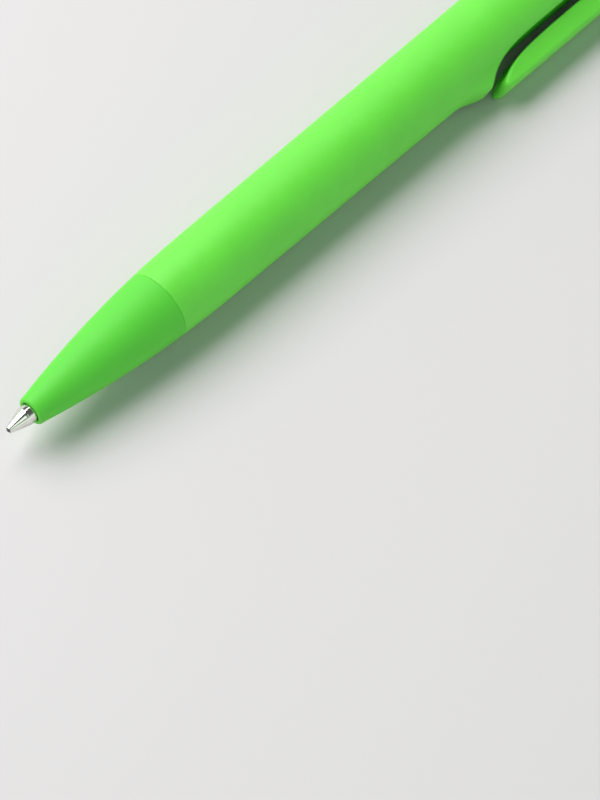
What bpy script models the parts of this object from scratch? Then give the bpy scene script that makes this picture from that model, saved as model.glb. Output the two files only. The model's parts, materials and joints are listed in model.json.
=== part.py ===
"""Retractable gel pen with an integral clip and a screwed nose.

The pen is drawn upright along its own Z axis: 0 is the plane of the nose's mouth, the writing end is
below it and the button is at the top, and the clip is towards +X. An empty then lays it on its side.
All values are in metres.
"""

import math

import bmesh
import bpy
from mathutils import Matrix, Vector

MM = 0.001

# Outer form
MOUTH_Z = 0.0
SEAM_Z = 23.2 * MM
RIM_Z = 128.0 * MM
OGIVE_LENGTH = 32.0 * MM
OGIVE_DROP = 3.12 * MM
BARREL_RADIUS = 5.0 * MM  # of the taper's line, at the mouth's plane
REAR_RADIUS = 5.72 * MM
GAP = 0.2 * MM

# Clip and its window
CLIP_OUTER_X = 8.1 * MM
CLIP_HALF_WIDTH = 2.8 * MM
CLIP_WALL = 1.0 * MM
CLIP_INNER_X = 4.9 * MM
CLIP_CORNER = 0.8 * MM
CORNER_X = CLIP_OUTER_X - CLIP_CORNER  # centre of the lower corner's rounding
CORNER_Y = CLIP_HALF_WIDTH - CLIP_CORNER
CLIP_TIP_Z = 81.2 * MM
CLIP_ROOT_Z = 116.0 * MM
CLIP_BOW = 3.0 * MM  # length over which the lower edges curve up to the tip
CLIP_TIP_THICKNESS = 1.0 * MM
SLOT_Z = 118.6 * MM
WINDOW_X = 3.6 * MM
WINDOW_Z = 79.5 * MM
WINDOW_FALL = 2.9 * MM  # length over which its front slope falls to its floor
WINDOW_END = 0.8 * MM  # radius at its rear end
RAMP_Z = 76.6 * MM
RAMP_X = 6.5 * MM
RAMP_HALF_WIDTH = 2.3 * MM

# Bores of the barrel
BORE_RADIUS = 4.25 * MM
COUNTERBORE_RADIUS = 4.75 * MM
COUNTERBORE_Z = 126.1 * MM

# Nose
MOUTH_BORE = 1.5 * MM
NECK_BORE = 1.85 * MM
NECK_BORE_Z = 4.2 * MM
GUIDE_Z = 7.0 * MM
CHAMBER_BORE = 2.55 * MM
TUBE_BORE = 3.25 * MM
TUBE_BORE_Z = 21.0 * MM
SPIGOT_RADIUS = 4.05 * MM
SPIGOT_LENGTH = 5.0 * MM
GUIDE_LENGTH = 3.0 * MM
GUIDE_RADIUS = 2.4 * MM

# Refill, with the point out
POINT_OUT = 3.75 * MM
POINT_RADIUS = 1.3 * MM
BALL_RADIUS = 0.35 * MM
HOLDER_Z = 5.4 * MM
HOLDER_NECK = 1.6 * MM
SHOULDER_Z = 25.8 * MM
TUBE_Z = 28.0 * MM
TUBE_RADIUS = 3.0 * MM
TUBE_INNER = 2.5 * MM
TAIL_Z = 101.8 * MM
INK_END_Z = 86.0 * MM
FOLLOWER_LENGTH = 6.0 * MM

# Click mechanism, with the point out
TRAVEL = 5.0 * MM  # of the button between point in and point out
TURN_PER_TRAVEL = math.radians(45) / TRAVEL
SLEEVE_Z = 79.0 * MM
SLEEVE_RADIUS = 4.05 * MM
SLEEVE_INNER = 3.35 * MM
RIB_INNER = 2.75 * MM
FIN_RADIUS = 3.15 * MM
FIN_WIDTH = 1.1 * MM
FINS = 4
SLEEVE_END_Z = 126.1 * MM
RING_RADIUS = 4.6 * MM
RING_LOW_Z = 126.3 * MM
RING_Z = 127.5 * MM
BUTTON_HOLE = 3.3 * MM
BUTTON_RADIUS = 3.02 * MM
BUTTON_END_RADIUS = 2.92 * MM
BUTTON_Z = 122.3 * MM
BUTTON_END_Z = 132.5 * MM
BUTTON_EDGE = 0.45 * MM
DIMPLE_RADIUS = 1.07 * MM
DIMPLE_DEPTH = 0.8 * MM
STEM_RADIUS = 2.5 * MM
STUD_RADIUS = 1.8 * MM
ROTOR_FIN_Z = 106.1 * MM
ROTOR_FIN_END_Z = 108.6 * MM
PLUNGER_FIN_Z = 115.5 * MM
PLUNGER_FIN_END_Z = 120.0 * MM
RIB_END_Z = 121.0 * MM
TOOTH_HEIGHT = 0.5 * MM

ROUND = 40
BARREL_FACES = 32
SMALL_ROUND = 24

GREEN = (0.13, 0.66, 0.07)
NOSE_GREEN = (0.10, 0.58, 0.05)
GREY = (0.42, 0.46, 0.43)
STEEL = (0.75, 0.74, 0.72)


def outer_radius(z):
    """The pen's outline: a parabolic nose on a slightly tapered barrel."""
    taper = BARREL_RADIUS + (REAR_RADIUS - BARREL_RADIUS) * z / RIM_Z
    nose = max(0.0, 1 - z / OGIVE_LENGTH)
    return taper - OGIVE_DROP * nose**2


def lying_roll():
    """The pen's roll on a surface, lying on its rear rim and on the clip's lower corner."""
    reach = math.hypot(CORNER_X, CORNER_Y)
    return math.asin((REAR_RADIUS - CLIP_CORNER) / reach) - math.atan2(CORNER_Y, CORNER_X)


def window_floor(rise):
    """Height of the window's floor at a distance behind its front edge."""
    return WINDOW_X + (RAMP_X - WINDOW_X) * math.exp(-((rise / WINDOW_FALL) ** 1.2))


def steps(start, end, count):
    return [start + (end - start) * i / count for i in range(count + 1)]


def arc(centre, radius, start, end, count):
    """Points on an arc, as (x, y), from one angle in degrees to another."""
    angles = [math.radians(a) for a in steps(start, end, count)]
    return [(centre[0] + radius * math.cos(a), centre[1] + radius * math.sin(a)) for a in angles]


def clear_scene():
    for obj in list(bpy.data.objects):
        bpy.data.objects.remove(obj, do_unlink=True)


def new_collection(name):
    collection = bpy.data.collections.new(name)
    bpy.context.scene.collection.children.link(collection)
    return collection


def make_material(name, color, roughness, metallic=0.0, alpha=1.0):
    material = bpy.data.materials.new(name)
    material.use_nodes = True
    shader = material.node_tree.nodes["Principled BSDF"]
    shader.inputs["Base Color"].default_value = (*color, 1.0)
    shader.inputs["Roughness"].default_value = roughness
    shader.inputs["Metallic"].default_value = metallic
    shader.inputs["Alpha"].default_value = alpha
    return material


def add_object(name, mesh, collection, material=None):
    obj = bpy.data.objects.new(name, mesh)
    collection.objects.link(obj)
    if material:
        mesh.materials.append(material)
    return obj


def hide_cutter(obj):
    obj.hide_render = True
    obj.display_type = "WIRE"
    return obj


def turned(name, profile, collection, material=None, closed=True, segments=ROUND):
    """A solid of revolution about Z. The profile is (radius, z), down its outer side."""
    mesh = bpy.data.meshes.new(name)
    count = len(profile)
    edges = [(i, (i + 1) % count) for i in range(count if closed else count - 1)]
    mesh.from_pydata([(r, 0, z) for r, z in profile], edges, [])
    obj = add_object(name, mesh, collection, material)
    screw = obj.modifiers.new("Turn", "SCREW")
    screw.axis = "Z"
    screw.angle = math.tau
    screw.steps = screw.render_steps = segments
    screw.use_merge_vertices = True
    screw.merge_threshold = 1e-6
    screw.use_smooth_shade = True
    return obj


def prism(name, outline, low, high, collection, along="Z", material=None):
    """A flat outline pulled from low to high. Along Z the outline is (x, y), along Y it is (x, z)."""
    bm = bmesh.new()
    place = {"Z": lambda a, b: (a, b, low), "Y": lambda a, b: (a, low, b)}[along]
    face = bm.faces.new([bm.verts.new(place(a, b)) for a, b in outline])
    pulled = bmesh.ops.extrude_face_region(bm, geom=[face])["geom"]
    shift = Vector((0, 0, high - low)) if along == "Z" else Vector((0, high - low, 0))
    bmesh.ops.translate(bm, verts=[v for v in pulled if isinstance(v, bmesh.types.BMVert)], vec=shift)
    bmesh.ops.recalc_face_normals(bm, faces=bm.faces)
    mesh = bpy.data.meshes.new(name)
    bm.to_mesh(mesh)
    bm.free()
    return add_object(name, mesh, collection, material)


def box(name, low, high, collection, material=None):
    bm = bmesh.new()
    bmesh.ops.create_cube(bm, size=1.0)
    size = Vector(high) - Vector(low)
    bmesh.ops.scale(bm, vec=size, verts=bm.verts)
    bmesh.ops.translate(bm, vec=(Vector(low) + Vector(high)) / 2, verts=bm.verts)
    mesh = bpy.data.meshes.new(name)
    bm.to_mesh(mesh)
    bm.free()
    return add_object(name, mesh, collection, material)


def combine(obj, operation, other):
    boolean = obj.modifiers.new(f"{operation.title()} {other.name}", "BOOLEAN")
    boolean.operation = operation
    boolean.object = other
    boolean.solver = "EXACT"


def rounded_block(half_width, low_x, high_x, corner):
    """An outline from low_x to high_x with its two outer corners rounded."""
    top = arc((high_x - corner, half_width - corner), corner, 0, 90, 4)
    bottom = arc((high_x - corner, corner - half_width), corner, -90, 0, 4)
    return [(low_x, -half_width), *bottom, *top, (low_x, half_width)]


def make_barrel(collection, cutters, material):
    outside = [(0, RIM_Z)]
    outside += arc((REAR_RADIUS - 0.5 * MM, RIM_Z - 0.5 * MM), 0.5 * MM, 90, 0, 3)
    heights = [SEAM_Z + GAP / 2, 27 * MM, 30 * MM, 33 * MM, 36 * MM, 80 * MM]
    outside += [(outer_radius(z), z) for z in reversed(heights)]
    outside += [(0, heights[0])]
    barrel = turned("barrel", outside, collection, material, closed=False, segments=BARREL_FACES)
    face = math.tau / BARREL_FACES
    barrel.rotation_euler.z = (math.pi / 2 - lying_roll() - face / 2) % face  # one long face is underneath

    half = 4.9 * MM
    outline = [(12 * MM, WINDOW_Z)]
    outline += [(window_floor(rise), WINDOW_Z + rise) for rise in steps(0, 8 * MM, 8)]
    outline += arc((WINDOW_X + WINDOW_END, SLOT_Z - WINDOW_END), WINDOW_END, 180, 90, 3)
    outline += [(12 * MM, SLOT_Z)]
    window = hide_cutter(prism("window_cutter", outline, -half, half, cutters, "Y"))
    combine(barrel, "DIFFERENCE", window)

    root = rounded_block(CLIP_HALF_WIDTH, 2 * MM, CLIP_OUTER_X, CLIP_CORNER)
    block = prism("clip_root", root, CLIP_ROOT_Z + GAP / 2, RIM_Z, cutters)
    combine(barrel, "UNION", hide_cutter(block))

    rise = [(4 * MM, RAMP_Z - 4 * MM), (outer_radius(RAMP_Z) - 0.15 * MM, RAMP_Z)]
    rise += [(RAMP_X, WINDOW_Z - 0.6 * MM)]
    behind = [0.5 * MM, 1.3 * MM, 2.1 * MM, 2.7 * MM]
    rise += [(window_floor(b) - 0.05 * MM, WINDOW_Z + b) for b in behind]
    rise += [(4 * MM, WINDOW_Z + behind[-1])]
    ramp = prism("clip_guard", rise, -RAMP_HALF_WIDTH, RAMP_HALF_WIDTH, cutters, "Y")
    combine(barrel, "UNION", hide_cutter(ramp))

    beyond = RIM_Z + 2 * MM
    before = SEAM_Z - 2 * MM
    bore = [(0, beyond), (COUNTERBORE_RADIUS, beyond), (COUNTERBORE_RADIUS, COUNTERBORE_Z)]
    bore += [(BORE_RADIUS, COUNTERBORE_Z), (BORE_RADIUS, before), (0, before)]
    combine(barrel, "DIFFERENCE", hide_cutter(turned("bore", bore, cutters, closed=False)))

    inner_half = CLIP_HALF_WIDTH - CLIP_WALL
    channel = [(0, -inner_half), (CLIP_OUTER_X - CLIP_WALL, -inner_half)]
    channel += [(CLIP_OUTER_X - CLIP_WALL, inner_half), (0, inner_half)]
    hollow = prism("clip_channel", channel, CLIP_ROOT_Z - 3 * MM, beyond, cutters)
    combine(barrel, "DIFFERENCE", hide_cutter(hollow))
    return barrel


def make_clip(collection, cutters, material):
    """The tongue: a U-channel whose lower edges curve up to a thin tip. Its origin is on the flexing axis."""
    root_z = CLIP_ROOT_Z - GAP / 2
    rounding = arc((CLIP_OUTER_X - 0.6 * MM, CLIP_TIP_Z + 0.6 * MM), 0.6 * MM, 0, -90, 3)
    bow = []
    for back in steps(0, 3 * CLIP_BOW, 8):
        lift = (CLIP_OUTER_X - CLIP_TIP_THICKNESS - CLIP_INNER_X) * math.exp(-back / CLIP_BOW)
        bow.append((CLIP_INNER_X + lift, CLIP_TIP_Z + back))
    side = [(CLIP_INNER_X, root_z), (CLIP_OUTER_X, root_z), *rounding, *bow]
    clip = prism("clip", side, -CLIP_HALF_WIDTH, CLIP_HALF_WIDTH, collection, "Y", material)

    section = rounded_block(CLIP_HALF_WIDTH, 2 * MM, CLIP_OUTER_X, CLIP_CORNER)
    beyond = 2 * MM
    block = prism("tongue_section", section, CLIP_TIP_Z - beyond, root_z + beyond, cutters)
    combine(clip, "INTERSECT", hide_cutter(block))

    inner_half = CLIP_HALF_WIDTH - CLIP_WALL
    floor = CLIP_OUTER_X - CLIP_WALL
    hollow = box(
        "tongue_channel",
        (0, -inner_half, CLIP_TIP_Z + CLIP_WALL),
        (floor, inner_half, root_z + beyond),
        cutters,
    )
    combine(clip, "DIFFERENCE", hide_cutter(hollow))

    hinge = Vector((CLIP_OUTER_X - CLIP_WALL / 2, 0, root_z - 1 * MM))
    clip.data.transform(Matrix.Translation(-hinge))
    clip.location = hinge
    return clip


def make_nose(collection, material):
    shoulder = SEAM_Z - GAP / 2
    spigot_end = shoulder + SPIGOT_LENGTH
    profile = [(TUBE_BORE, spigot_end), (SPIGOT_RADIUS - 0.2 * MM, spigot_end)]
    profile += [(SPIGOT_RADIUS, spigot_end - 0.3 * MM), (SPIGOT_RADIUS, shoulder)]
    profile += [(outer_radius(z), z) for z in steps(shoulder, 0.4 * MM, 10)]
    profile += [(outer_radius(0) - 0.08 * MM, 0.08 * MM), (outer_radius(0) - 0.2 * MM, MOUTH_Z)]
    profile += [(MOUTH_BORE + 0.1 * MM, MOUTH_Z), (MOUTH_BORE, 0.15 * MM)]
    profile += [(MOUTH_BORE, NECK_BORE_Z), (NECK_BORE, NECK_BORE_Z), (NECK_BORE, GUIDE_Z)]
    profile += [(CHAMBER_BORE, GUIDE_Z), (CHAMBER_BORE, TUBE_BORE_Z), (TUBE_BORE, TUBE_BORE_Z)]
    return turned("nose_section", profile, collection, material)


def make_guide(collection, material):
    low = GUIDE_Z + 0.1 * MM
    high = GUIDE_Z + GUIDE_LENGTH
    profile = [(NECK_BORE, high), (GUIDE_RADIUS, high), (GUIDE_RADIUS, low), (NECK_BORE, low)]
    return turned("point_guide", profile, collection, material, segments=SMALL_ROUND)


def make_point(collection, material):
    """The metal point: a cylinder and a cone, with the ball's socket and the ink way inside."""
    lip = -POINT_OUT + 0.2 * MM
    centre = BALL_RADIUS - POINT_OUT
    socket = arc((0, centre), 0.39 * MM, -22, 58, 5)
    chamber = 0.62 * MM
    rear = 9.0 * MM
    profile = [(chamber, rear), (POINT_RADIUS, rear), (POINT_RADIUS, -0.75 * MM)]
    profile += [(1.2 * MM, -1.0 * MM), (0.56 * MM, lip + 0.3 * MM), (0.48 * MM, lip)]
    profile += [(socket[0][0] - 0.02 * MM, lip), *socket, (0.2 * MM, -2.7 * MM), (chamber, -2.3 * MM)]
    return turned("point_housing", profile, collection, material, segments=SMALL_ROUND)


def make_ball(collection, material):
    bm = bmesh.new()
    bmesh.ops.create_uvsphere(bm, u_segments=16, v_segments=10, radius=BALL_RADIUS)
    mesh = bpy.data.meshes.new("ball")
    bm.to_mesh(mesh)
    bm.free()
    mesh.shade_smooth()
    ball = add_object("ball", mesh, collection, material)
    ball.location = (0, 0, BALL_RADIUS - POINT_OUT)
    return ball


def make_coil(name, radius, wire, low, high, turns, per_turn, collection, material):
    """A compression spring whose first and last turns lie nearly flat."""
    curve = bpy.data.curves.new(name, "CURVE")
    curve.dimensions = "3D"
    curve.bevel_depth = wire
    curve.bevel_resolution = 1
    curve.use_fill_caps = True
    count = turns * per_turn
    spline = curve.splines.new("POLY")
    spline.points.add(count)
    for i, point in enumerate(spline.points):
        turn = i / per_turn
        rise = min(max((turn - 0.5) / (turns - 1), 0), 1)
        closing = 2.2 * wire * (min(turn, 0.5) + max(turn - turns + 0.5, 0))
        z = low + wire + closing + (high - low - 2 * wire - 2.2 * wire) * rise
        angle = math.tau * turn
        point.co = (radius * math.cos(angle), radius * math.sin(angle), z, 1)
    obj = bpy.data.objects.new(name, curve)
    collection.objects.link(obj)
    curve.materials.append(material)
    return obj


def make_holder(collection, material):
    bore = POINT_RADIUS + 0.1 * MM
    way = 0.8 * MM
    plug = TUBE_INNER - 0.1 * MM
    profile = [(way, TUBE_Z + 5 * MM), (plug, TUBE_Z + 5 * MM), (plug, TUBE_Z), (TUBE_RADIUS, TUBE_Z)]
    profile += [(TUBE_RADIUS, SHOULDER_Z), (HOLDER_NECK + 0.2 * MM, SHOULDER_Z)]
    profile += [(HOLDER_NECK + 0.1 * MM, SHOULDER_Z - 6 * MM), (HOLDER_NECK + 0.1 * MM, HOLDER_Z + 5 * MM)]
    profile += [(HOLDER_NECK, HOLDER_Z + 4 * MM), (HOLDER_NECK, HOLDER_Z), (bore, HOLDER_Z)]
    profile += [(bore, 9.2 * MM), (way, 9.2 * MM)]
    return turned("tip_holder", profile, collection, material, segments=SMALL_ROUND)


def make_refill(collection, materials):
    low = TUBE_Z + 0.1 * MM
    high = TAIL_Z - 1.7 * MM
    wall = [(TUBE_INNER, high), (TUBE_RADIUS, high), (TUBE_RADIUS, low), (TUBE_INNER, low)]
    inside = TUBE_INNER - 0.1 * MM
    ink_low = TUBE_Z + 5.2 * MM
    ink = [(0, INK_END_Z), (inside, INK_END_Z), (inside, ink_low), (0, ink_low)]
    grease_low = INK_END_Z + 0.15 * MM
    grease_high = grease_low + FOLLOWER_LENGTH
    grease = [(0, grease_high), (inside, grease_high), (inside, grease_low), (0, grease_low)]
    vent = 0.4 * MM
    tail = [(vent, TAIL_Z), (TUBE_RADIUS, TAIL_Z), (TUBE_RADIUS, TAIL_Z - 1.5 * MM)]
    tail += [(inside, TAIL_Z - 1.5 * MM), (inside, TAIL_Z - 5 * MM), (vent, TAIL_Z - 5 * MM)]
    small = {"segments": SMALL_ROUND}
    return [
        turned("refill_tube", wall, collection, materials["tube"], **small),
        turned("ink_column", ink, collection, materials["ink"], closed=False, **small),
        turned("ink_follower", grease, collection, materials["grease"], closed=False, **small),
        turned("tail_plug", tail, collection, materials["white"], **small),
    ]


def make_crown(name, inner, outer, base, direction, cutters):
    """A ring of eight saw teeth, which rise from the base in the given direction along Z."""
    teeth = 8
    bm = bmesh.new()
    sunk = base - direction * 0.6 * MM
    rings = []
    for i in range(teeth * 4):
        angle = math.tau * i / (teeth * 4)
        height = 0.1 * MM + TOOTH_HEIGHT * (i % 4) / 4
        corners = [(inner, sunk), (outer, sunk), (outer, base + direction * height)]
        corners.append((inner, base + direction * height))
        rings.append([bm.verts.new((r * math.cos(angle), r * math.sin(angle), z)) for r, z in corners])
    for ring, following in zip(rings, rings[1:] + rings[:1]):
        for a in range(4):
            b = (a + 1) % 4
            bm.faces.new([ring[a], ring[b], following[b], following[a]])
    bmesh.ops.recalc_face_normals(bm, faces=bm.faces)
    mesh = bpy.data.meshes.new(name)
    bm.to_mesh(mesh)
    bm.free()
    return hide_cutter(add_object(name, mesh, cutters))


def add_fins(obj, low, high, offset, cutters):
    """Four straight fins joined to a turned piece, in two bars across its axis."""
    for i in range(FINS // 2):
        bar = box(
            f"{obj.name}_fins_{i}",
            (-FIN_RADIUS, -FIN_WIDTH / 2, low),
            (FIN_RADIUS, FIN_WIDTH / 2, high),
            cutters,
        )
        bar.rotation_euler.z = offset + i * math.pi / 2
        combine(obj, "UNION", hide_cutter(bar))


def make_rotor(collection, cutters, material):
    low = TAIL_Z + 0.3 * MM
    radius = RIB_INNER - GAP
    profile = [(0, ROTOR_FIN_END_Z), (radius, ROTOR_FIN_END_Z), (radius, low), (0, low)]
    rotor = turned("rotor", profile, collection, material, closed=False, segments=SMALL_ROUND)
    add_fins(rotor, ROTOR_FIN_Z, ROTOR_FIN_END_Z - 0.1 * MM, 0, cutters)
    crown = make_crown("rotor_teeth", 1.2 * MM, 2.3 * MM, ROTOR_FIN_END_Z, 1, cutters)
    combine(rotor, "UNION", crown)
    return rotor


def make_plunger(collection, cutters, material):
    front = ROTOR_FIN_END_Z + 2 * TOOTH_HEIGHT + 0.5 * MM
    step = BUTTON_Z - 0.3 * MM
    end = BUTTON_END_Z - 3 * MM
    profile = [(0, end), (STUD_RADIUS, end), (STUD_RADIUS, step), (STEM_RADIUS, step)]
    profile += [(STEM_RADIUS, front), (0, front)]
    plunger = turned("plunger", profile, collection, material, closed=False, segments=SMALL_ROUND)
    add_fins(plunger, PLUNGER_FIN_Z, PLUNGER_FIN_END_Z, math.pi / 4, cutters)
    crown = make_crown("plunger_teeth", 1.2 * MM, 2.3 * MM, front, -1, cutters)
    combine(plunger, "UNION", crown)
    return plunger


def make_rib(name, centre, cutters):
    """A rib inside the sleeve. Its front flank slopes, so that the turning rotor slides along it."""
    fin_half = math.radians(12)
    clear = math.radians(4)
    slope_end = ROTOR_FIN_END_Z + TRAVEL
    heights = steps(ROTOR_FIN_END_Z + 0.3 * MM, slope_end, 6) + [RIB_END_Z]
    bm = bmesh.new()
    sections = []
    for z in heights:
        turned_by = TURN_PER_TRAVEL * min(z - ROTOR_FIN_END_Z, TRAVEL)
        first = fin_half + clear - turned_by
        last = math.radians(45) - fin_half - clear
        angles = steps(first, last, 3)
        outer = SLEEVE_INNER + 0.3 * MM
        outline = [(RIB_INNER, a) for a in angles] + [(outer, a) for a in reversed(angles)]
        corners = [(r * math.cos(centre + a), r * math.sin(centre + a), z) for r, a in outline]
        sections.append([bm.verts.new(corner) for corner in corners])
    count = len(sections[0])
    for section, following in zip(sections, sections[1:]):
        for a in range(count):
            b = (a + 1) % count
            bm.faces.new([section[a], section[b], following[b], following[a]])
    for section in (sections[0], sections[-1]):
        for i in range(count // 2 - 1):
            bm.faces.new([section[i], section[i + 1], section[count - 2 - i], section[count - 1 - i]])
    bmesh.ops.recalc_face_normals(bm, faces=bm.faces)
    mesh = bpy.data.meshes.new(name)
    bm.to_mesh(mesh)
    bm.free()
    return hide_cutter(add_object(name, mesh, cutters))


def make_sleeve(collection, cutters, material):
    neck = 125.5 * MM
    profile = [(BUTTON_HOLE, SLEEVE_END_Z), (SLEEVE_RADIUS, SLEEVE_END_Z), (SLEEVE_RADIUS, SLEEVE_Z)]
    profile += [(SLEEVE_INNER, SLEEVE_Z), (SLEEVE_INNER, neck), (BUTTON_HOLE, neck)]
    sleeve = turned("mechanism_sleeve", profile, collection, material)
    for i in range(FINS):
        rib = make_rib(f"sleeve_rib_{i}", i * math.pi / 2, cutters)
        combine(sleeve, "UNION", rib)
    return sleeve


def make_ring(collection, material):
    """The ring round the button. It lies in the barrel's counterbore and holds the sleeve in."""
    bevel = 0.1 * MM
    profile = [(BUTTON_HOLE, RING_Z), (RING_RADIUS - bevel, RING_Z), (RING_RADIUS, RING_Z - bevel)]
    profile += [(RING_RADIUS, RING_LOW_Z), (BUTTON_HOLE, RING_LOW_Z)]
    return turned("trim_ring", profile, collection, material)


def make_button(collection, material):
    centre = (BUTTON_END_RADIUS - BUTTON_EDGE, BUTTON_END_Z - BUTTON_EDGE)
    bore = STUD_RADIUS + 0.15 * MM
    bore_end = BUTTON_END_Z - 2.8 * MM
    floor = BUTTON_END_Z - DIMPLE_DEPTH
    profile = [(0, floor), (DIMPLE_RADIUS * 0.6, floor), (DIMPLE_RADIUS, BUTTON_END_Z - 0.1 * MM)]
    profile += [(DIMPLE_RADIUS + 0.08 * MM, BUTTON_END_Z), *arc(centre, BUTTON_EDGE, 90, 0, 4)]
    profile += [(BUTTON_RADIUS, BUTTON_Z), (bore, BUTTON_Z), (bore, bore_end), (0, bore_end)]
    return turned("push_button", profile, collection, material, closed=False)


def lay_down(objects, collection):
    """Turn the upright pen to lie along +X, resting on its rear rim and on the clip's lower corner."""
    roll = lying_roll()
    clip_way = Vector((0, -math.cos(roll), -math.sin(roll)))
    along = Vector((1, 0, 0))
    across = along.cross(clip_way)
    turn = Matrix((clip_way, across, along)).transposed()
    middle = (BUTTON_END_Z - POINT_OUT) / 2
    clip_side = CORNER_X * math.cos(roll) + CORNER_Y * math.sin(roll) + CLIP_CORNER
    sideways = (clip_side - REAR_RADIUS) / 2
    rest = bpy.data.objects.new("resting_pose", None)
    collection.objects.link(rest)
    rest.matrix_world = Matrix.Translation((-middle, sideways, REAR_RADIUS)) @ turn.to_4x4()
    for obj in objects:
        obj.parent = rest


def main():
    clear_scene()
    pen = new_collection("gel_pen")
    cutters = new_collection("cutters")
    soft = make_material("soft_touch_green", GREEN, 0.5)
    smooth = make_material("nose_green", NOSE_GREEN, 0.4)
    grey = make_material("ring_grey", GREY, 0.45)
    white = make_material("natural_plastic", (0.8, 0.8, 0.78), 0.4)
    steel = make_material("spring_steel", STEEL, 0.3, 1.0)
    nickel = make_material("point_nickel", STEEL, 0.18, 1.0)
    refill = {
        "tube": make_material("refill_tube_plastic", (0.85, 0.88, 0.88), 0.25),
        "ink": make_material("gel_ink", (0.01, 0.01, 0.02), 0.3),
        "grease": make_material("follower_grease", (0.85, 0.8, 0.6), 0.2),
        "white": white,
    }
    make_barrel(pen, cutters, soft)
    make_clip(pen, cutters, soft)
    make_nose(pen, smooth)
    make_guide(pen, white)
    make_point(pen, nickel)
    make_ball(pen, make_material("ball_carbide", (0.3, 0.3, 0.31), 0.15, 1.0))
    make_coil("ball_spring", 0.38 * MM, 0.07 * MM, -2.2 * MM, 5 * MM, 12, 8, pen, steel)
    make_holder(pen, white)
    coil_low = GUIDE_Z + GUIDE_LENGTH + 0.15 * MM
    coil_high = SHOULDER_Z - 0.15 * MM
    make_coil("return_spring", 2.15 * MM, 0.2 * MM, coil_low, coil_high, 10, 12, pen, steel)
    make_refill(pen, refill)
    make_rotor(pen, cutters, white)
    make_plunger(pen, cutters, white)
    make_sleeve(pen, cutters, smooth)
    make_ring(pen, grey)
    make_button(pen, soft)
    lay_down([*pen.objects, *cutters.objects], pen)


main()
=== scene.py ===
"""Looks of the retractable gel pen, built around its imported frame.

Shapes are worked out in the pen's own millimetre frame: x towards the clip, y across it and z along the
axis from the nose's mouth to the button. PEN carries that frame into the row frame, in metres.
"""

import json
import math

import bmesh
import bpy
import numpy as np
from mathutils import Matrix, Vector


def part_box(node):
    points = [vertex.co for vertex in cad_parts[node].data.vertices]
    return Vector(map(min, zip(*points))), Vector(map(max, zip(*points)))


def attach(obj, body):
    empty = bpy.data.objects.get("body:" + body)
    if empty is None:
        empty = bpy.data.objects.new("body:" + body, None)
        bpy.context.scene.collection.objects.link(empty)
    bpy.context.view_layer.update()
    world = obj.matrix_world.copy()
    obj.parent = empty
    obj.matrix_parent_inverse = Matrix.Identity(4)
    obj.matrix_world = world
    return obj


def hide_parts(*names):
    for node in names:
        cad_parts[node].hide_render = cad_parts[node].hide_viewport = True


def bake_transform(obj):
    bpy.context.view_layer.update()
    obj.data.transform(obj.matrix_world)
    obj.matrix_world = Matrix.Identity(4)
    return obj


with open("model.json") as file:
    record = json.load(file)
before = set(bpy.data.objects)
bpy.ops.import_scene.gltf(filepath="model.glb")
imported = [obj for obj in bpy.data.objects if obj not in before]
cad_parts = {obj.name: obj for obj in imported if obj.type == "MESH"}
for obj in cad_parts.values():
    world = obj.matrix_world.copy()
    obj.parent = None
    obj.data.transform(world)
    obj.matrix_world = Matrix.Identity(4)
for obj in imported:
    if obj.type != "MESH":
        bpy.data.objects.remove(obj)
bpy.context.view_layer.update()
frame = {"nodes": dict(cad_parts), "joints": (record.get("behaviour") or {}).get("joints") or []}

MM = 0.001

# ---------------------------------------------------------------- places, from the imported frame

refill_low, refill_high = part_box("refill_tube")
nose_low, nose_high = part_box("nose_section")
joints = {joint["name"]: joint for joint in frame["joints"]}
along = Vector((1, 0, 0))
across = Vector(joints["clip_flex"]["axis"]).normalized()
to_clip = along.cross(across)
mouth = Vector((nose_low.x, (refill_low.y + refill_high.y) / 2, (refill_low.z + refill_high.z) / 2))
PEN = Matrix.Translation(mouth) @ Matrix((to_clip, -across, along)).transposed().to_4x4()
PEN = PEN @ Matrix.Scale(MM, 4)


def pen_z(node, end):
    """A node's lowest or highest place along the pen, in the pen's millimetres."""
    return (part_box(node)[end].x - mouth.x) / MM


RIM_Z = pen_z("barrel", 1)
SEAM_Z = pen_z("barrel", 0) - 0.1
CLIP_TIP_Z = pen_z("clip", 0)
CLIP_ROOT_Z = pen_z("clip", 1) + 0.1
BUTTON_END_Z = pen_z("push_button", 1)
POINT_Z = pen_z("point_housing", 0)

# ---------------------------------------------------------------- sizes in the pen's millimetres

OGIVE_LENGTH, OGIVE_DROP = 32.0, 3.12
TAPER_RADIUS, REAR_RADIUS = 5.0, 5.72
BORE, COUNTERBORE, COUNTERBORE_Z = 4.25, 4.75, 126.1
CLIP_X, CLIP_HALF, CLIP_CORNER, CLIP_WALL, CLIP_INNER = 8.1, 2.8, 0.8, 1.0, 4.9
CLIP_BOW, TIP_THICK = 3.0, 1.0
WINDOW_X, WINDOW_Z, WINDOW_FALL, SLOT_Z = 3.6, 79.5, 2.9, 118.6
RAMP_Z, RAMP_X, RAMP_HALF = 76.6, 6.5, 2.3

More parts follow.
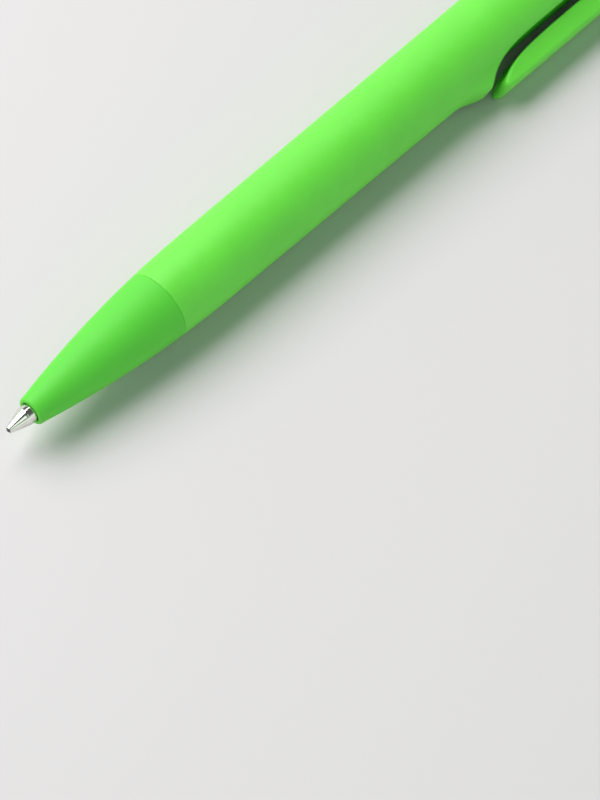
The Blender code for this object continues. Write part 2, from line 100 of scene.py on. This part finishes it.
# Details of the barrel. A name that ends in ROUND or BLEND is the width of a rounded edge or fillet.
SEAM_GAP, SEAM_ROUND, RIM_ROUND = 0.015, 0.1, 0.9
RAMP_SINK, RAMP_PEAK_BACK = 0.15, 0.6  # how far the ramp starts under the skin and peaks before the window
RAMP_ROUND, RAMP_SIDE_ROUND, RAMP_BLEND = 0.8, 0.9, 1.2
RAMP_LOW_X, RAMP_TAIL = 3, 5
FLOOR_PEAK, FLOOR_POWER, FLOOR_SCALE = 0.25, 1.2, 0.75
WINDOW_LEAD, WINDOW_FRONT_ROUND, WINDOW_ROUND, SLOT_ROUND = 0.3, 0.9, 0.35, 1.3
ROOT_LOW_X, ROOT_LAP = 2, 0.3
ROOT_BLEND_LEAST, ROOT_BLEND, ROOT_BLEND_LEAD, ROOT_BLEND_LENGTH = 0.02, 2.4, 0.8, 3.0
CHANNEL_ROUND, CHANNEL_LAP, COUNTERBORE_ROUND, HOLLOW_BLEND, HOLLOW_ROUND = 0.5, 3, 0.1, 0.4, 0.3

# Details of the clip
TONGUE_LAP = 1.0  # how far the tongue reaches into its root
INSET, INSET_LEAD, INSET_LENGTH = 0.012, 0.4, 0.1  # keeps the lapped part just under the root's skin
LOWER_ROUND, TIP_ROUND, TIP_EDGE_ROUND = 0.45, 1.6, 0.5
CHANNEL_TIP, CHANNEL_TIP_ROUND, CHANNEL_EDGE_ROUND = 1.6, 0.8, 0.35


def outline_radius(z):
    """The pen's outer radius without its clip: a straight taper and the nose's ogive."""
    taper = TAPER_RADIUS + (REAR_RADIUS - TAPER_RADIUS) * z / RIM_Z
    return taper - OGIVE_DROP * np.maximum(0, 1 - z / OGIVE_LENGTH) ** 2


# ---------------------------------------------------------------- signed distances


def smax(a, b, k):
    """The larger of two distances, with the corner between them rounded over k."""
    h = np.maximum(k - np.abs(a - b), 0) / k
    return np.maximum(a, b) + h * h * k / 4


def smin(a, b, k):
    return -smax(-a, -b, k)


def bar(x, y, half, top, corner):
    """A bar along z below x = top, with its two outer corners rounded."""
    qx, qy = x - top + corner, np.abs(y) - half + corner
    return np.hypot(np.maximum(qx, 0), np.maximum(qy, 0)) + np.minimum(np.maximum(qx, qy), 0) - corner


def window_floor(z):
    """Height of the window's floor, which falls from the guard's peak in one smooth curve."""
    rise = np.maximum(z - WINDOW_Z, 0)
    fall = np.exp(-((rise / WINDOW_FALL) ** FLOOR_POWER))
    return WINDOW_X + (RAMP_X + FLOOR_PEAK - WINDOW_X) * fall


def clip_channel(x, y):
    """The hollow along the inside of the clip and its root."""
    return smax(np.abs(y) - (CLIP_HALF - CLIP_WALL), x - (CLIP_X - CLIP_WALL), CHANNEL_ROUND)


def barrel_distance(x, y, z):
    r = np.hypot(x, y)
    body = r - outline_radius(z)

    ramp_low = outline_radius(RAMP_Z) - RAMP_SINK
    slope = (RAMP_X - ramp_low) / (WINDOW_Z - RAMP_PEAK_BACK - RAMP_Z)
    face = (x - ramp_low - slope * (z - RAMP_Z)) / math.hypot(1, slope)
    guard = smax(face, x - RAMP_X, RAMP_ROUND)
    guard = smax(guard, np.abs(y) - RAMP_HALF, RAMP_SIDE_ROUND)
    guard = np.maximum(guard, RAMP_LOW_X - x)
    guard = np.maximum(guard, z - WINDOW_Z - RAMP_TAIL)
    body = smin(body, guard, RAMP_BLEND)

    window = (window_floor(z) - x) * FLOOR_SCALE
    window = smax(window, WINDOW_Z - WINDOW_LEAD - z, WINDOW_FRONT_ROUND)
    window = smax(window, z - SLOT_Z, SLOT_ROUND)
    body = smax(body, -window, WINDOW_ROUND)

    root = bar(x, y, CLIP_HALF, CLIP_X, CLIP_CORNER)
    root = np.maximum(root, ROOT_LOW_X - x)
    root = np.maximum(root, CLIP_ROOT_Z - ROOT_LAP - z)
    share = np.clip((z - SLOT_Z + ROOT_BLEND_LEAD) / ROOT_BLEND_LENGTH, 0, 1)
    body = smin(body, root, ROOT_BLEND_LEAST + ROOT_BLEND * share)
    body = smax(body, z - RIM_Z, RIM_ROUND)
    body = smax(body, SEAM_Z + SEAM_GAP - z, SEAM_ROUND)

    channel = np.maximum(clip_channel(x, y), CLIP_ROOT_Z - CHANNEL_LAP - z)
    channel = np.maximum(channel, -x)
    counterbore = smax(r - COUNTERBORE, COUNTERBORE_Z - z, COUNTERBORE_ROUND)
    hollow = smin(np.minimum(r - BORE, counterbore), channel, HOLLOW_BLEND)
    return smax(body, -hollow, HOLLOW_ROUND)


def clip_distance(x, y, z):
    body = bar(x, y, CLIP_HALF, CLIP_X, CLIP_CORNER)
    inset = INSET * np.clip((z - CLIP_ROOT_Z + INSET_LEAD) / INSET_LENGTH, 0, 1)
    back = np.maximum(z - CLIP_TIP_Z, 0)
    lift = (CLIP_X - TIP_THICK - CLIP_INNER) * np.exp(-back / CLIP_BOW)
    body = smax(body, (CLIP_INNER + lift - x) / np.hypot(1, lift / CLIP_BOW), LOWER_ROUND)
    tip = smax(CLIP_TIP_Z - z, x - CLIP_X, TIP_ROUND)
    body = smax(body, tip, TIP_EDGE_ROUND)
    body = np.maximum(body, z - CLIP_ROOT_Z - TONGUE_LAP)
    channel = smax(clip_channel(x, y), CLIP_TIP_Z + CHANNEL_TIP - z, CHANNEL_TIP_ROUND)
    return smax(body, -channel, CHANNEL_EDGE_ROUND) + inset


DRAW_STEP, DRAW_ROUNDS, LONGEST_MOVE, LEAST_SLOPE = 0.004, 3, 0.08, 0.2
NORMAL_STEP = 0.03


def surface_nets(distance, xs, ys, zs):
    """Meshes a distance's zero surface on a grid: points drawn onto it, quads and normals."""
    gx, gy, gz = np.meshgrid(xs, ys, zs, indexing="ij")
    value = distance(gx, gy, gz)
    inside = value < 0
    nx, ny, nz = value.shape
    corners = [(i, j, k) for i in (0, 1) for j in (0, 1) for k in (0, 1)]

    def part(array, i, j, k):
        return array[i : nx - 1 + i, j : ny - 1 + j, k : nz - 1 + k]

    full = sum(part(inside, *c).astype(np.int8) for c in corners)
    cells = (full > 0) & (full < 8)
    number = np.full(cells.shape, -1, np.int64)
    number[cells] = np.arange(cells.sum())
    total = np.zeros((int(cells.sum()), 3))
    count = np.zeros(int(cells.sum()))
    for a in corners:
        for axis in range(3):
            if a[axis]:
                continue
            b = tuple(1 if n == axis else v for n, v in enumerate(a))
            va, vb = part(value, *a)[cells], part(value, *b)[cells]
            crossed = (va < 0) != (vb < 0)
            share = np.where(crossed, va / np.where(crossed, va - vb, 1), 0)
            pa = np.stack([part(g, *a)[cells] for g in (gx, gy, gz)], 1)
            pb = np.stack([part(g, *b)[cells] for g in (gx, gy, gz)], 1)
            total += np.where(crossed[:, None], pa + (pb - pa) * share[:, None], 0)
            count += crossed
    points = total / count[:, None]
    quads = []
    for axis in range(3):
        others = [n for n in range(3) if n != axis]
        low = [slice(1, -1)] * 3
        high = [slice(1, -1)] * 3
        low[axis], high[axis] = slice(0, -1), slice(1, None)
        changed = inside[tuple(low)] != inside[tuple(high)]
        spots = np.argwhere(changed)
        spots[:, others] += 1
        outward = inside[tuple(spots.T)]
        ring = []
        for da, db in ((0, 0), (1, 0), (1, 1), (0, 1)):
            at = spots.copy()
            at[:, others[0]] -= 1 - da
            at[:, others[1]] -= 1 - db
            ring.append(number[tuple(at.T)])
        ring = np.stack(ring, 1)
        flip = outward if axis == 1 else ~outward
        ring[flip] = ring[flip][:, ::-1]
        quads.append(ring)
    quads = np.concatenate(quads)
    quads = quads[(quads >= 0).all(axis=1)]
    for _ in range(DRAW_ROUNDS):
        gradient = slope_of(distance, points, DRAW_STEP)
        size = np.maximum((gradient**2).sum(1), LEAST_SLOPE)
        move = distance(*points.T)[:, None] * gradient / size[:, None]
        points = points - np.clip(move, -LONGEST_MOVE, LONGEST_MOVE)
    return points, quads, slope_of(distance, points, NORMAL_STEP)


def slope_of(distance, points, step):
    """The gradient of a distance at each point, by central differences."""
    columns = []
    for axis in range(3):
        shift = np.zeros(3)
        shift[axis] = step
        columns.append((distance(*(points + shift).T) - distance(*(points - shift).T)) / (2 * step))
    return np.stack(columns, 1)


# ---------------------------------------------------------------- mesh helpers


def add_mesh(name, points, faces, normals=None):
    """Adds a smooth mesh from the pen's millimetres, in the row frame."""
    place = np.array(PEN)
    world = np.asarray(points) @ place[:3, :3].T + place[:3, 3]
    mesh = bpy.data.meshes.new(name)
    mesh.from_pydata([tuple(p) for p in world], [], [tuple(int(i) for i in f) for f in faces])
    mesh.polygons.foreach_set("use_smooth", [True] * len(mesh.polygons))
    mesh.update()
    if normals is not None:
        turned = normals @ (place[:3, :3] / MM).T
        turned /= np.linalg.norm(turned, axis=1, keepdims=True)
        mesh.normals_split_custom_set_from_vertices([tuple(n) for n in turned])
    obj = bpy.data.objects.new(name, mesh)
    bpy.context.scene.collection.objects.link(obj)
    return obj


def rounded(profile, radii, count=5):
    """A closed profile with its corners rounded by the given radii, 0 for a sharp one."""
    out = []
    total = len(profile)
    for i, radius in enumerate(radii):
        before, here, after = (np.array(profile[(i + d) % total], float) for d in (-1, 0, 1))
        if not radius:
            out.append(tuple(here))
            continue
        u = (before - here) / np.linalg.norm(before - here)
        v = (after - here) / np.linalg.norm(after - here)
        angle = math.acos(float(np.clip(u @ v, -1, 1)))
        reach = min(radius / math.tan(angle / 2), 0.49 * np.linalg.norm(before - here))
        reach = min(reach, 0.49 * np.linalg.norm(after - here))
        start, end = here + u * reach, here + v * reach
        for step in range(count + 1):
            t = step / count
            out.append(tuple((1 - t) ** 2 * start + 2 * t * (1 - t) * here + t * t * end))
    return out


def lathe(name, profile, segments=96, shift=None):
    """Turns a closed profile of (radius, z) about the pen's axis. shift may change each point's radius."""
    profile = [(max(r, 0), z) for r, z in profile]
    points, faces = [], []
    rings = []
    for r, z in profile:
        if r < 1e-6:
            rings.append([len(points)] * segments)
            points.append((0, 0, z))
            continue
        rings.append(list(range(len(points), len(points) + segments)))
        for s in range(segments):
            angle = math.tau * s / segments
            radius = r + (shift(r, z, angle) if shift else 0)
            points.append((radius * math.cos(angle), radius * math.sin(angle), z))
    closed = profile[0][0] > 1e-6
    pairs = list(zip(rings, rings[1:] + rings[:1])) if closed else list(zip(rings, rings[1:]))
    for a, b in pairs:
        for s in range(segments):
            n = (s + 1) % segments
            corners = [a[s], a[n], b[n], b[s]]
            corners = [c for i, c in enumerate(corners) if c != corners[i - 1]]
            if len(corners) > 2:
                faces.append(corners)
    obj = add_mesh(name, points, faces)
    bm = bmesh.new()
    bm.from_mesh(obj.data)
    bmesh.ops.recalc_face_normals(bm, faces=bm.faces)
    sharp = math.radians(32)
    for edge in bm.edges:
        edge.smooth = len(edge.link_faces) == 2 and edge.calc_face_angle(0) < sharp
    bm.to_mesh(obj.data)
    bm.free()
    return obj


# ---------------------------------------------------------------- materials


class Graph:
    """A small helper that adds and links shader nodes."""

    def __init__(self, material):
        self.tree = material.node_tree
        self.shader = self.tree.nodes["Principled BSDF"]

    def add(self, kind, **values):
        node = self.tree.nodes.new(kind)
        for key, value in values.items():
            if hasattr(node, key):
                setattr(node, key, value)
            else:
                node.inputs[key.replace("_", " ")].default_value = value
        return node

    def link(self, out, into):
        self.tree.links.new(out, into)

    def noise(self, scale, detail=3.0, rough=0.5):
        where = self.add("ShaderNodeTexCoord")
        node = self.add("ShaderNodeTexNoise", Scale=scale, Detail=detail, Roughness=rough)
        self.link(where.outputs["Object"], node.inputs["Vector"])
        return node.outputs["Fac"]

    def ramp(self, value, stops):
        node = self.add("ShaderNodeValToRGB")
        while len(node.color_ramp.elements) < len(stops):
            node.color_ramp.elements.new(0.5)
        for element, (place, color) in zip(node.color_ramp.elements, stops):
            element.position = place
            element.color = color
        self.link(value, node.inputs["Fac"])
        return node.outputs["Color"]

    def remap(self, value, low, high):
        node = self.add("ShaderNodeMapRange")
        node.inputs["To Min"].default_value = low
        node.inputs["To Max"].default_value = high
        self.link(value, node.inputs["Value"])
        return node.outputs["Result"]

    def bump(self, value, strength, distance, under=None):
        node = self.add("ShaderNodeBump")
        node.inputs["Strength"].default_value = strength
        node.inputs["Distance"].default_value = distance
        self.link(value, node.inputs["Height"])
        if under:
            self.link(under, node.inputs["Normal"])
        return node.outputs["Normal"]


def new_material(name, **values):
    material = bpy.data.materials.new(name)
    material.use_nodes = True
    graph = Graph(material)
    for key, value in values.items():
        graph.shader.inputs[key.replace("_", " ")].default_value = value
    return material, graph


def tinted(color, share):
    return tuple(min(1, c * share) for c in color) + (1,)


def plastic(name, color, rough, mottle=0.04, grain=0.2, grain_scale=2600, spread=0.05, **values):
    """Moulded plastic: a little colour variation, uneven gloss and a fine moulded grain."""
    material, graph = new_material(name, **values)
    slow = graph.noise(170, 4, 0.6)
    stops = [(0.3, tinted(color, 1 - mottle)), (0.7, tinted(color, 1 + mottle))]
    graph.link(graph.ramp(slow, stops), graph.shader.inputs["Base Color"])
    uneven = graph.remap(graph.noise(600, 3), rough - spread, rough + spread)
    graph.link(uneven, graph.shader.inputs["Roughness"])
    fine = graph.bump(graph.noise(grain_scale, 2), grain, 0.00002)
    graph.link(graph.bump(slow, grain * 0.4, 0.00006, fine), graph.shader.inputs["Normal"])
    return material


GREEN = (0.125, 0.72, 0.042)
WARM = (1.0, 0.95, 0.5, 1.0)
soft_touch = plastic(
    "soft_touch_green", GREEN, 0.52, mottle=0.04, grain=0.35, grain_scale=1900,
    Sheen_Weight=0.12, Sheen_Roughness=0.5, Sheen_Tint=WARM, Specular_IOR_Level=0.65,
)
nose_green = plastic(
    "nose_green", (0.085, 0.62, 0.032), 0.6, mottle=0.015, grain=0.12, grain_scale=3200,
    Sheen_Weight=0.15, Sheen_Roughness=0.5, Sheen_Tint=WARM, Specular_IOR_Level=0.5,
)
button_green = plastic("button_green", (0.066, 0.6, 0.03), 0.5, mottle=0.02, grain=0.14, grain_scale=3000)
sleeve_green = plastic("sleeve_green", (0.05, 0.5, 0.02), 0.6, mottle=0.02, grain=0.1, grain_scale=3000)
ring_grey = plastic("ring_grey", (0.44, 0.47, 0.44), 0.5, mottle=0.03, grain=0.15)
natural = plastic("natural_white", (0.78, 0.78, 0.74), 0.42, mottle=0.02, grain=0.12)
grease = plastic("clear_grease", (0.82, 0.74, 0.5), 0.18, mottle=0.05, grain=0.3, grain_scale=500)
ink = plastic("black_ink", (0.012, 0.012, 0.02), 0.12, mottle=0.2, grain=0.1, grain_scale=400)
tube = plastic(
    "translucent_tube", (0.82, 0.86, 0.85), 0.22, mottle=0.03, grain=0.08,
    Transmission_Weight=0.75, IOR=1.49,
)


def metal(name, color, rough, spread, turning=0.0):
    """Metal with fine turning marks round the pen's axis and slightly uneven polish."""
    material, graph = new_material(name, Metallic=1.0)
    tone = graph.noise(900, 3)
    stops = [(0.3, tinted(color, 0.94)), (0.7, tinted(color, 1.04))]
    graph.link(graph.ramp(tone, stops), graph.shader.inputs["Base Color"])
    graph.link(graph.remap(tone, rough - spread, rough + spread), graph.shader.inputs["Roughness"])
    if turning:
        where = graph.add("ShaderNodeTexCoord")
        lines = graph.add("ShaderNodeTexWave", Scale=turning, Distortion=1.0)
        lines.bands_direction = "X"
        graph.link(where.outputs["Object"], lines.inputs["Vector"])
        graph.link(graph.bump(lines.outputs["Fac"], 0.12, 0.00001), graph.shader.inputs["Normal"])
    return material


point_metal = metal("nickel_point", (0.83, 0.79, 0.77), 0.1, 0.03, turning=2600)
ball_metal = metal("carbide_ball", (0.12, 0.12, 0.125), 0.25, 0.05)
spring_steel = metal("spring_steel", (0.62, 0.61, 0.6), 0.24, 0.07)

# ---------------------------------------------------------------- barrel and clip

xs = np.arange(-6.2, 8.71, 0.2)
ys = np.arange(-6.3, 6.31, 0.2)
front = np.arange(SEAM_Z - 0.6, SEAM_Z + 1.4, 0.15)
middle = np.arange(front[-1] + 1, 72, 1.0)
rear = np.arange(middle[-1] + 0.25, RIM_Z + 0.8, 0.2)
points, quads, normals = surface_nets(barrel_distance, xs, ys, np.concatenate([front, middle, rear]))
barrel = add_mesh("barrel_shell", points, quads, normals)
barrel.data.materials.append(soft_touch)
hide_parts("barrel")
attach(barrel, "barrel")

points, quads, normals = surface_nets(
    clip_distance,
    np.arange(4.3, 8.71, 0.13),
    np.arange(-3.3, 3.31, 0.13),
    np.arange(CLIP_TIP_Z - 0.6, CLIP_ROOT_Z + 1.7, 0.2),
)
clip = add_mesh("clip_tongue", points, quads, normals)
clip.data.materials.append(soft_touch)
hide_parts("clip")
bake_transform(clip)

# ---------------------------------------------------------------- nose section

SPIGOT, SPIGOT_END, PITCH = 4.05, pen_z("nose_section", 1), 1.2
NECK_BORE, CHAMBER_BORE, TUBE_BORE, SPIGOT_LEAD = 1.85, 2.55, 3.25, 3.85
NECK_Z, GUIDE_Z, TUBE_BORE_Z = 4.2, 7.0, 21.0
THREAD_DEPTH, THREAD_MARGIN = 0.3, 0.3
LIP_Z, MOUTH_BORE = 0.3, 1.4
shoulder = SEAM_Z - SEAM_GAP


def thread(radius, z, angle):
    """A right-hand thread on the outside of the spigot, fading out at both ends."""
    if abs(radius - SPIGOT) > 0.01 or not shoulder + THREAD_MARGIN < z < SPIGOT_END - THREAD_MARGIN:
        return 0
    turn = (z / PITCH - angle / math.tau) % 1
    crest = 0.5 - 0.5 * math.cos(math.tau * turn)
    fade = min(1, (z - shoulder - THREAD_MARGIN) / 0.8, (SPIGOT_END - THREAD_MARGIN - z) / 0.5)
    return -THREAD_DEPTH * fade * (1 - crest)


profile = [(TUBE_BORE, TUBE_BORE_Z), (TUBE_BORE, SPIGOT_END), (SPIGOT_LEAD, SPIGOT_END)]
profile += [(SPIGOT, z) for z in np.arange(SPIGOT_END - 0.2, shoulder + 0.05, -0.1)]
profile += [(SPIGOT, shoulder)]
outer = float(outline_radius(shoulder))
profile += [(outer - 0.05, shoulder), (outer - 0.01, shoulder - 0.03)]
profile += [(float(outline_radius(z)), z) for z in np.linspace(shoulder - 0.15, 1.05, 60)]
lip = float(outline_radius(LIP_Z))
profile += rounded(
    [(lip + 0.19, 0.95), (lip, LIP_Z), (MOUTH_BORE + 0.02, 0.22), (MOUTH_BORE, 0.7)],
    [0, 0.5, 0.16, 0],
)[1:]
profile += [(MOUTH_BORE, NECK_Z), (NECK_BORE, NECK_Z), (NECK_BORE, GUIDE_Z)]
profile += [(CHAMBER_BORE, GUIDE_Z), (CHAMBER_BORE, TUBE_BORE_Z)]
nose = lathe("nose_cone", profile, 128, thread)
nose.data.materials.append(nose_green)
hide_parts("nose_section")
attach(nose, "nose")

# ---------------------------------------------------------------- button

BUTTON_RADIUS, BUTTON_END_RADIUS, BUTTON_BORE, CAP_DEPTH = 3.02, 2.92, 1.9, 2.9
DIMPLE, DIMPLE_DEPTH = 1.07, 0.8
base, dimple_z = pen_z("push_button", 0), BUTTON_END_Z - DIMPLE_DEPTH
outside = rounded(
    [(BUTTON_RADIUS, base), (BUTTON_END_RADIUS, BUTTON_END_Z), (DIMPLE, BUTTON_END_Z),
     (DIMPLE - 0.1, dimple_z), (0.0, dimple_z)],
    [0.1, 0.55, 0.12, 0.25, 0],
)
cap_z = BUTTON_END_Z - CAP_DEPTH
inside = [(BUTTON_BORE, base), (BUTTON_BORE, cap_z), (0.0, cap_z)]
button = lathe("button_cap", [(0.0, dimple_z)] + outside[::-1][1:] + inside)
button.data.materials.append(button_green)
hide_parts("push_button")
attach(button, "button")

# ---------------------------------------------------------------- point and springs

POINT_RADIUS, POINT_BORE, POINT_END_Z, LIP_LENGTH = 1.3, 0.62, 9.0, 0.3
lip_z = POINT_Z + LIP_LENGTH
profile = rounded(
    [(POINT_BORE, POINT_END_Z), (POINT_RADIUS, POINT_END_Z), (POINT_RADIUS, -0.72), (1.2, -0.98),
     (0.56, lip_z), (0.48, POINT_Z), (0.36, POINT_Z), (0.39, lip_z), (0.2, -2.7), (POINT_BORE, -2.3)],
    [0, 0.15, 0.12, 0.3, 0.08, 0.04, 0, 0, 0, 0],
)
point = lathe("writing_point", profile, 72)
point.data.materials.append(point_metal)
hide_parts("point_housing")
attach(point, "refill")


CLOSED_PITCH = 2.2  # of the half turn at each end, in wire radii


def coil(name, node, radius, wire, turns, per_turn=28, around=10):
    """A compression spring with closed ends, as long as its CAD node."""
    low, high = pen_z(node, 0), pen_z(node, 1)
    centre, count = [], turns * per_turn
    for i in range(count + 1):
        turn = i / per_turn
        rise = min(max((turn - 0.5) / (turns - 1), 0), 1)
        closing = CLOSED_PITCH * wire * (min(turn, 0.5) + max(turn - turns + 0.5, 0))
        z = low + wire + closing + (high - low - (2 + CLOSED_PITCH) * wire) * rise
        angle = math.tau * turn
        centre.append((radius * math.cos(angle), radius * math.sin(angle), z))
    centre = np.array(centre)
    ahead = np.gradient(centre, axis=0)
    ahead /= np.linalg.norm(ahead, axis=1, keepdims=True)
    out = centre * (1, 1, 0)
    out /= np.linalg.norm(out, axis=1, keepdims=True)
    side = np.cross(ahead, out)
    points, faces = [], []
    for i in range(count + 1):
        for s in range(around):
            angle = math.tau * s / around
            points.append(centre[i] + wire * (out[i] * math.cos(angle) + side[i] * math.sin(angle)))
    for i in range(count):
        for s in range(around):
            n = (s + 1) % around
            a, b = i * around, (i + 1) * around
            faces.append((a + s, b + s, b + n, a + n))
    faces += [tuple(range(around)), tuple(count * around + s for s in reversed(range(around)))]
    obj = add_mesh(name, points, faces)
    bm = bmesh.new()
    bm.from_mesh(obj.data)
    bmesh.ops.recalc_face_normals(bm, faces=bm.faces)
    bm.to_mesh(obj.data)
    bm.free()
    obj.data.materials.append(spring_steel)
    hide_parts(node)
    return obj


spring = coil("return_coil", "return_spring", 2.15, 0.2, 10)
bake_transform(spring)
ball_coil = coil("ball_coil", "ball_spring", 0.38, 0.07, 12, 20, 8)
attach(ball_coil, "refill")

# ---------------------------------------------------------------- CAD nodes that stay

KEPT = {
    "mechanism_sleeve": sleeve_green,
    "trim_ring": ring_grey,
    "plunger": natural,
    "rotor": natural,
    "point_guide": natural,
    "tip_holder": natural,
    "tail_plug": natural,
    "refill_tube": tube,
    "ink_column": ink,
    "ink_follower": grease,
    "ball": ball_metal,
}
for node, material in KEPT.items():
    mesh = frame["nodes"][node].data
    mesh.materials.clear()
    mesh.materials.append(material)

# ---------------------------------------------------------------- floor, light and camera


FLOOR_HALF = 3.0


def add_floor():
    bm = bmesh.new()
    bmesh.ops.create_grid(bm, x_segments=8, y_segments=8, size=FLOOR_HALF)
    mesh = bpy.data.meshes.new("floor")
    bm.to_mesh(mesh)
    bm.free()
    floor = bpy.data.objects.new("floor", mesh)
    bpy.context.scene.collection.objects.link(floor)
    material, graph = new_material("pale_paper", Roughness=0.75, Specular_IOR_Level=0.2)
    stops = [(0.3, (0.62, 0.625, 0.62, 1)), (0.7, (0.64, 0.643, 0.64, 1))]
    graph.link(graph.ramp(graph.noise(3, 2), stops), graph.shader.inputs["Base Color"])
    mesh.materials.append(material)


def add_area(name, place, target, size, watts, color):
    light = bpy.data.lights.new(name, "AREA")
    light.shape = "RECTANGLE"
    light.size, light.size_y = size
    light.energy = watts
    light.color = color
    obj = bpy.data.objects.new(name, light)
    bpy.context.scene.collection.objects.link(obj)
    obj.location = place
    aim = Vector(target) - Vector(place)
    obj.rotation_euler = aim.to_track_quat("-Z", "Y").to_euler()
    obj.visible_camera = False


TURN = math.radians(47.06)
HEIGHT = math.radians(53.32)
DISTANCE = 0.65
SENSOR, FOCAL = 36, 231.165  # in millimetres
MOUTH_PLACE = (-0.0339, -0.0064, 0.00575)  # of the nose's mouth, from the middle of the picture

unturn = Matrix.Rotation(-TURN, 4, "Z")


def from_view(right, ahead, up):
    """The row place of a spot given as the view sees it, in metres from the middle of the picture."""
    seen = Vector((right, ahead, up)) - Vector(MOUTH_PLACE)
    return unturn @ seen + mouth


bpy.context.scene.view_settings.view_transform = "Standard"

camera_data = bpy.data.cameras.new("photo_camera")
camera_data.lens = FOCAL
camera_data.sensor_width = SENSOR
camera_data.clip_start = 0.01
camera_data.clip_end = 20
camera = bpy.data.objects.new("photo_camera", camera_data)
bpy.context.scene.collection.objects.link(camera)
camera.location = from_view(0, -math.cos(HEIGHT) * DISTANCE, math.sin(HEIGHT) * DISTANCE)
look = from_view(0, 0, 0) - camera.location
camera.rotation_euler = look.to_track_quat("-Z", "Y").to_euler()
bpy.context.scene.camera = camera

add_floor()
middle_place = from_view(0, 0, 0)
key_place, fill_place = from_view(-0.35, 0.18, 0.6), from_view(0.5, -0.5, 0.9)
add_area("key", key_place, middle_place, (0.65, 0.65), watts=7.4, color=(1.0, 0.91, 0.97))
add_area("fill", fill_place, middle_place, (0.6, 0.6), watts=1.2, color=(0.85, 1.0, 0.87))


def add_world():
    """A soft studio surround, bright near the table and dark overhead."""
    world = bpy.data.worlds.new("studio")
    world.use_nodes = True
    tree = world.node_tree
    where = tree.nodes.new("ShaderNodeTexCoord")
    split = tree.nodes.new("ShaderNodeSeparateXYZ")
    ramp = tree.nodes.new("ShaderNodeValToRGB")
    low, high = ramp.color_ramp.elements
    low.position, low.color = 0.25, (0.84, 1.03, 0.87, 1)
    high.position, high.color = 0.6, (0.09, 0.11, 0.095, 1)
    tree.links.new(where.outputs["Generated"], split.inputs["Vector"])
    tree.links.new(split.outputs["Z"], ramp.inputs["Fac"])
    tree.links.new(ramp.outputs["Color"], tree.nodes["Background"].inputs["Color"])
    bpy.context.scene.world = world


add_world()
